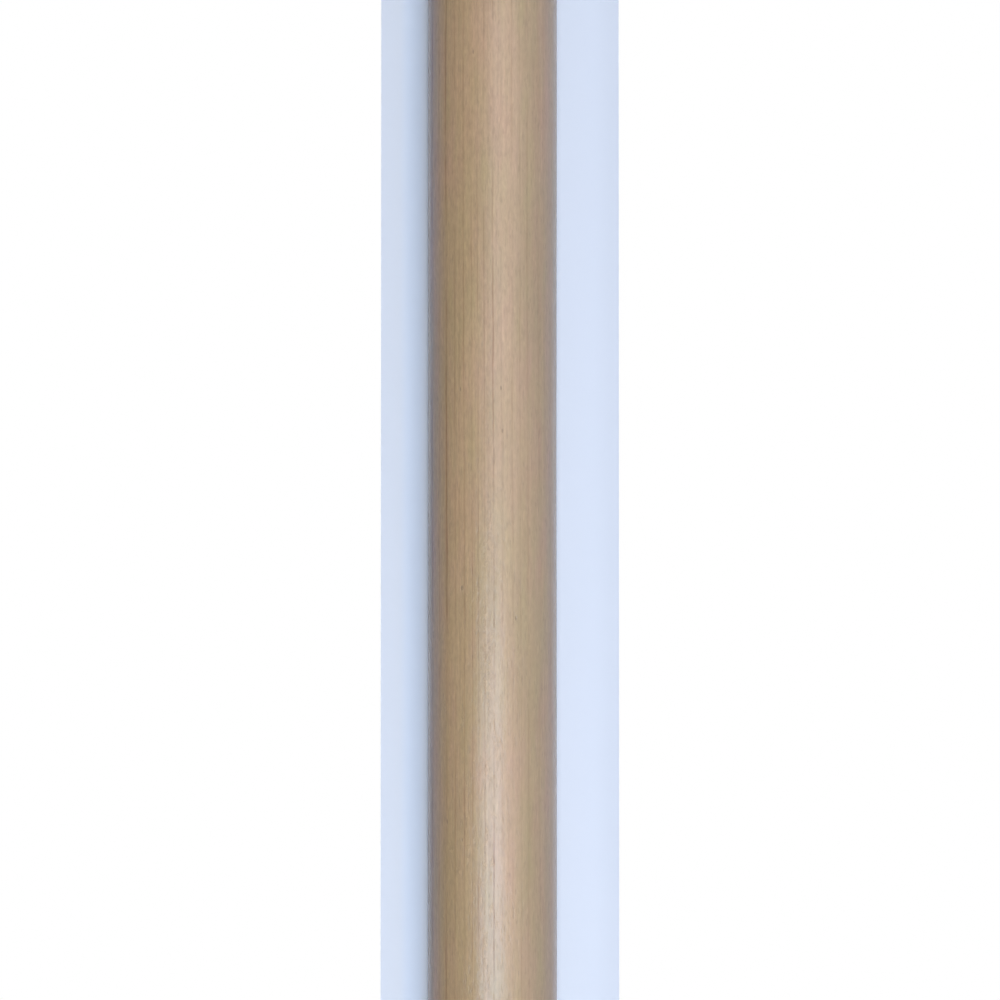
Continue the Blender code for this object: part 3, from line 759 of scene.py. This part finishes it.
def end_cap(node, mat):
    lo, hi = span(node)
    floor = lo + CAP_FLOOR
    corners = [(0.8, floor, 0), (CAP_BORE_R - 4.2, floor, 0.8), (CAP_BORE_R, floor + 4.1, 3.0),
               (CAP_BORE_R, hi, 0.6), (CAP_R, hi, 0.75), (CAP_R, hi - 3.0, 0.35), (CAP_R - 0.28, hi - 3.5, 0.35),
               (CAP_R - 0.28, lo + 9.0, 3.0), (CAP_R, lo + 6.0, 3.0), (CAP_R, lo, 4.2), (9.2, lo, 0.3),
               (8.6, lo + 0.35, 0.25), (7.9, lo + 0.35, 0.25), (7.3, lo, 0.3), (0.8, lo, 0)]
    rows = refine(fillets(corners, turn=11.0), 0.9)
    shell, angles = Shell(), even(128)
    first = shell.ring(*rows[0], angles)
    last = shell.chain(first, rows[1:], angles)
    shell.cap(first, rows[0][1])
    shell.cap(last, rows[-1][1])

    def shape(x, y, z):
        r = math.hypot(x, y)
        if r < CAP_BORE_R + 0.3 or z < lo + 0.6:
            return x, y, z
        d = 0.10 * noise.noise(Vector((x * 0.10, y * 0.10, z * 0.12)))
        d += 0.03 * noise.noise(Vector((x * 0.5, y * 0.5, z * 0.4)))
        d = min(d, CAP_R - r + 0.05)
        return x * (r + d) / r, y * (r + d) / r, z
    return piece(node, shell, mat, shape)


SHOULDERS = {n: span(n + "_tip")[1] - THREAD_LEN for n in ("bottom", "middle", "top")}
STEEL_MAT = plated_steel("plated_steel")
PIN_MAT = plated_steel("pin_steel")
INSERT_MAT = cast_alloy("cast_alloy_insert")
RUBBER_MAT = soft_black("washer_rubber", (0.018, 0.018, 0.019), 0.62, 0.25, 0.05)
VINYL_MAT = soft_black("cap_vinyl", (0.014, 0.014, 0.015), 0.38, 0.09, 0.03, foot=span("end_cap")[0])

for n, (turn, offset, pith, seed, seam, bands) in {
    "bottom": (1.15, 310.0, 64.0, 4.3, -1.9, ((-6.5, 1.5, OLIVE), (-1.0, 2.5, STRAW), (4.0, 1.2, OLIVE))),
    "middle": (0.0, 0.0, 90.0, 1.7, -0.10, ((-8.2, 1.2, OLIVE), (-4.4, 3.4, STRAW), (6.9, 2.2, SAGE))),
    "top": (-0.55, -520.0, 75.0, 8.9, 1.1, ((-3.0, 1.8, OLIVE), (2.5, 2.5, STRAW), (8.5, 1.4, SAGE))),
}.items():
    shoulder = SHOULDERS[n]
    below = {"middle": SHOULDERS["bottom"], "top": SHOULDERS["middle"]}.get(n)
    cutters = [cross_hole(PIN_HOLE_R, shoulder - 23.0, TIP_TENON_R, 0.0)]
    if below is None:
        cutters.append(cross_hole(HANG_R, HANG_Z, WOOD_R, 0.45))
        top, dents = None, [(-1.9, 118.0, 2.6, 0.16), (2.4, 96.0, 2.1, 0.13), (0.4, 210.0, 2.4, 0.12)]
    else:
        s_lo, top = span(n + "_socket_sleeve")
        cutters.append(cross_hole(PIN_HOLE_R, s_lo + 44.0, SOCKET_TENON_R, 0.0))
        dents = [(2.2, shoulder - 120.0, 2.4, 0.12), (0.9, shoulder - 60.0, 2.0, 0.10)]
    timber = wood(n + "_wood", turn, offset, pith, seed, seam, bands)
    shaft(n + "_shaft", timber, shoulder, cutters, seed, top, dents)
    tip(n + "_tip", cast_alloy("cast_alloy_" + n, shoulder), shoulder)
    pin(n + "_tip_pin", PIN_MAT, seed)
    if below is not None:
        insert(n + "_socket_insert", INSERT_MAT, below)
        sleeve(n + "_socket_sleeve", STEEL_MAT)
        pin(n + "_socket_pin", PIN_MAT, seed + 3)
        washer(n + "_joint_washer", RUBBER_MAT)
end_cap("end_cap", VINYL_MAT)

for n, made in frame["nodes"].items():      # hidden stand-ins take a finish too
    made.data.materials.clear()
    made.data.materials.append({"wood": bpy.data.materials["middle_wood"], "cast_alloy": INSERT_MAT,
                                "plated_steel": STEEL_MAT, "washer_rubber": RUBBER_MAT,
                                "cap_vinyl": VINYL_MAT}[SLOT[n]])

# ------------------------------------------------------------------ camera
EYE = Vector((0.00139, -0.4500, 0.6010))
AIM_Z = 0.6075
LENS = 87.55

cam = bpy.data.objects.new("camera", bpy.data.cameras.new("camera"))
bpy.context.scene.collection.objects.link(cam)
cam.location = EYE
cam.rotation_euler = (Vector((EYE.x, 0.0, AIM_Z)) - EYE).to_track_quat("-Z", "Y").to_euler()
cam.data.lens = LENS
cam.data.sensor_width = 36.0
cam.data.clip_start = 0.01
bpy.context.scene.camera = cam

# ------------------------------------------------------------------ stage: floor, backdrop strip and light
def stage_material(name, color, rough=0.9):
    g = Graph(name)
    return g, g.principled(Base_Color=color, Roughness=rough, Specular_IOR_Level=0.2)


def sheet(name, corners, mat):
    mesh = bpy.data.meshes.new(name)
    mesh.from_pydata(corners, [], [tuple(range(len(corners)))])
    mesh.materials.append(mat)
    obj = bpy.data.objects.new(name, mesh)
    bpy.context.scene.collection.objects.link(obj)
    return obj


REACH = "cx * cx + cy * cy + (cz - 0.6) * (cz - 0.6)"
CLOSE = REACH + " < 0.5 and cy < 0"      # the photograph's own camera, half a metre off
FAR = REACH + " > 0.5 or cy > 0"         # any camera that takes in the whole pole


def drive(owner, path, expression):
    """Sets a property from the camera's place (cx, cy, cz)."""
    driver = owner.driver_add(path).driver
    driver.type = "SCRIPTED"
    for axis in "xyz":
        var = driver.variables.new()
        var.name, var.type = "c" + axis, "TRANSFORMS"
        var.targets[0].id = cam
        var.targets[0].transform_type = "LOC_" + axis.upper()
        var.targets[0].transform_space = "WORLD_SPACE"
    driver.expression = expression


# a pale round floor that fades out at its rim, and is gone for a camera below it
g, bsdf = stage_material("floor_paint", (0.86, 0.86, 0.85))
fx, fy, fz = g.parts(g.mm())
reach = g.math("SQRT", g.add(g.mul(fx, fx), g.mul(fy, fy)))
keep = g.span(reach, 700.0, 1500.0, 1.0, 0.0)
bare = g.tree.nodes.new("ShaderNodeBsdfTransparent")
blend = g.tree.nodes.new("ShaderNodeMixShader")
g.put(blend.inputs[0], keep)
g.tree.links.new(bare.outputs[0], blend.inputs[1])
g.tree.links.new(bsdf.outputs[0], blend.inputs[2])
g.tree.links.new(blend.outputs[0], g.out.inputs[0])
floor = sheet("floor", [(1.6 * math.cos(a), 1.6 * math.sin(a), -0.0002) for a in even(96)], g.mat)
drive(floor, "hide_render", "cz < 0")

# a pale blue strip straight behind the pole, for the close view only, with a painted shadow tint beside the pole and
# painted shade towards its right end
g, bsdf = stage_material("backdrop_paint", (0.727, 0.802, 0.932))
along = g.parts(g.mm())[0]
# painted shadow colour: a bluer paint on the strip where the pole's shadow falls beside it
painted_shadow_tint = g.mul(g.span(along, -18.2, -15.6), g.span(along, -14.2, -12.2, 1.0, 0.0))
paint = g.mix(painted_shadow_tint, (0.727, 0.802, 0.932), (0.700, 0.812, 0.998))
# painted shade: the strip darkens towards its right end
g.put(bsdf.inputs["Base Color"], g.tint(paint, g.span(along, 18.5, 24.0, 1.0, 0.940)))
STRIP = (-0.02125, 0.02400)
back = sheet("backdrop", [(STRIP[0], 0.0122, 0.470), (STRIP[1], 0.0122, 0.470),
                          (STRIP[1], 0.0122, 0.745), (STRIP[0], 0.0122, 0.745)], g.mat)
drive(back, "hide_render", FAR)


def area(name, place, aim, size, watts, color=(1.0, 1.0, 1.0), spread=180.0, specular=1.0, diffuse=1.0):
    data = bpy.data.lights.new(name, "AREA")
    data.shape, data.size, data.size_y = "RECTANGLE", size[0], size[1]
    data.energy, data.color, data.spread = watts, color, math.radians(spread)
    data.specular_factor, data.diffuse_factor = specular, diffuse
    obj = bpy.data.objects.new(name, data)
    bpy.context.scene.collection.objects.link(obj)
    obj.location = place
    obj.rotation_euler = (Vector(aim) - Vector(place)).to_track_quat("-Z", "Y").to_euler()
    obj.visible_camera = False
    return obj


def polar(azimuth, elevation, distance, z=0.607):
    a, e = math.radians(azimuth), math.radians(elevation)
    return (distance * math.sin(a) * math.cos(e), -distance * math.cos(a) * math.cos(e), z + distance * math.sin(e))


middle = (0, 0, 0.607)
# The light that falls on things and the soft reflections in the lacquer are set apart.
key = area("key", polar(11, 10, 1.7), middle, (0.50, 1.3), 9.2)
low = area("low_card", polar(0.3, -26, 0.95), middle, (0.11, 0.60), 4.8, (0.98, 1.0, 1.02))
window = area("window_gloss", polar(9, 10, 1.7), middle, (0.66, 1.3), 3.2)
sheen = area("sheen_card", polar(-1.5, -24, 0.95), middle, (0.75, 0.70), 7.2, (0.72, 1.0, 1.28))
side = area("side_gloss", polar(32, 0, 1.7), middle, (0.66, 2.2), 7.6, (1.0, 0.93, 0.90))
for lamp in (key, low):
    lamp.visible_glossy = False
for lamp in (window, sheen, side):
    lamp.visible_diffuse = False
for lamp in (key, low, window, sheen, side):
    drive(lamp, "hide_render", FAR)

# the same soft studio for a camera that takes in the whole pole, lit from all round
for lamp in (area("far_key", polar(32, 28, 3.0), middle, (1.3, 1.8), 42),
             area("far_fill", polar(-58, 14, 3.0), middle, (1.6, 2.0), 22),
             area("far_back", polar(172, 22, 3.0), middle, (1.4, 1.8), 36),
             area("far_side", polar(-128, 18, 3.0), middle, (1.0, 1.8), 20),
             area("far_rim", polar(112, 16, 3.0), middle, (1.0, 1.8), 21),
             area("far_top", (0.15, -0.2, 3.3), (0, 0, 0), (2.2, 2.2), 34)):
    drive(lamp, "hide_render", CLOSE)

ROOM = {"front left": (0.16, 0.155, 0.155), "front right": (0.30, 0.34, 0.43),
        "back left": (0.25, 0.26, 0.44), "back right": (0.41, 0.43, 0.65),
        "board left": (0.31, 0.46, 0.74), "board right": (0.50, 0.63, 0.86)}
world = bpy.data.worlds.new("studio")
bpy.context.scene.world = world
world.use_nodes = True
tree = world.node_tree
tree.nodes.clear()
out = tree.nodes.new("ShaderNodeOutputWorld")
ways = tree.nodes.new("ShaderNodeLightPath")
coord = tree.nodes.new("ShaderNodeTexCoord")
sep = tree.nodes.new("ShaderNodeSeparateXYZ")
tree.links.new(coord.outputs["Generated"], sep.inputs[0])


def ramp(socket, lo, hi):
    made = tree.nodes.new("ShaderNodeMapRange")
    made.inputs["From Min"].default_value, made.inputs["From Max"].default_value = lo, hi
    tree.links.new(socket, made.inputs["Value"])
    return made.outputs[0]


def between(factor, a, b):
    made = tree.nodes.new("ShaderNodeMix")
    made.data_type = "RGBA"
    tree.links.new(factor, made.inputs[0])
    for socket, value in ((made.inputs[6], a), (made.inputs[7], b)):
        if isinstance(value, tuple):
            socket.default_value = (*value, 1)
        else:
            tree.links.new(value, socket)
    return made.outputs[2]


# brighter to the right, as beside a window, and bluer behind the pole, as off a pale blue board
across, behind = ramp(sep.outputs[0], -0.25, 0.25), ramp(sep.outputs[1], 0.0, 0.6)
front = between(across, ROOM["front left"], ROOM["front right"])
fallen = between(behind, front, between(across, ROOM["back left"], ROOM["back right"]))
mirrored = between(ramp(sep.outputs[1], 0.0, 0.3), front, between(across, ROOM["board left"], ROOM["board right"]))
glow = tree.nodes.new("ShaderNodeBackground")
tree.links.new(between(ways.outputs["Is Glossy Ray"], fallen, mirrored), glow.inputs[0])
even_glow = tree.nodes.new("ShaderNodeBackground")       # all round, for the whole pole
tree.links.new(between(ramp(sep.outputs[2], -0.6, 0.8), (0.27, 0.27, 0.27), (0.52, 0.52, 0.52)), even_glow.inputs[0])
room = tree.nodes.new("ShaderNodeMixShader")
room.name = "room"
tree.links.new(glow.outputs[0], room.inputs[1])
tree.links.new(even_glow.outputs[0], room.inputs[2])
drive(tree, 'nodes["room"].inputs[0].default_value', FAR)
plain = tree.nodes.new("ShaderNodeBackground")
plain.inputs[0].default_value = (1, 1, 1, 1)
plain.inputs[1].default_value = 1.0
pick = tree.nodes.new("ShaderNodeMixShader")
tree.links.new(ways.outputs["Is Camera Ray"], pick.inputs[0])
tree.links.new(room.outputs[0], pick.inputs[1])
tree.links.new(plain.outputs[0], pick.inputs[2])
tree.links.new(pick.outputs[0], out.inputs[0])

bpy.context.scene.view_settings.view_transform = "Standard"
bpy.context.scene.view_settings.look = "None"
bpy.context.scene.view_settings.exposure = 0.0
bpy.context.scene.view_settings.gamma = 1.0
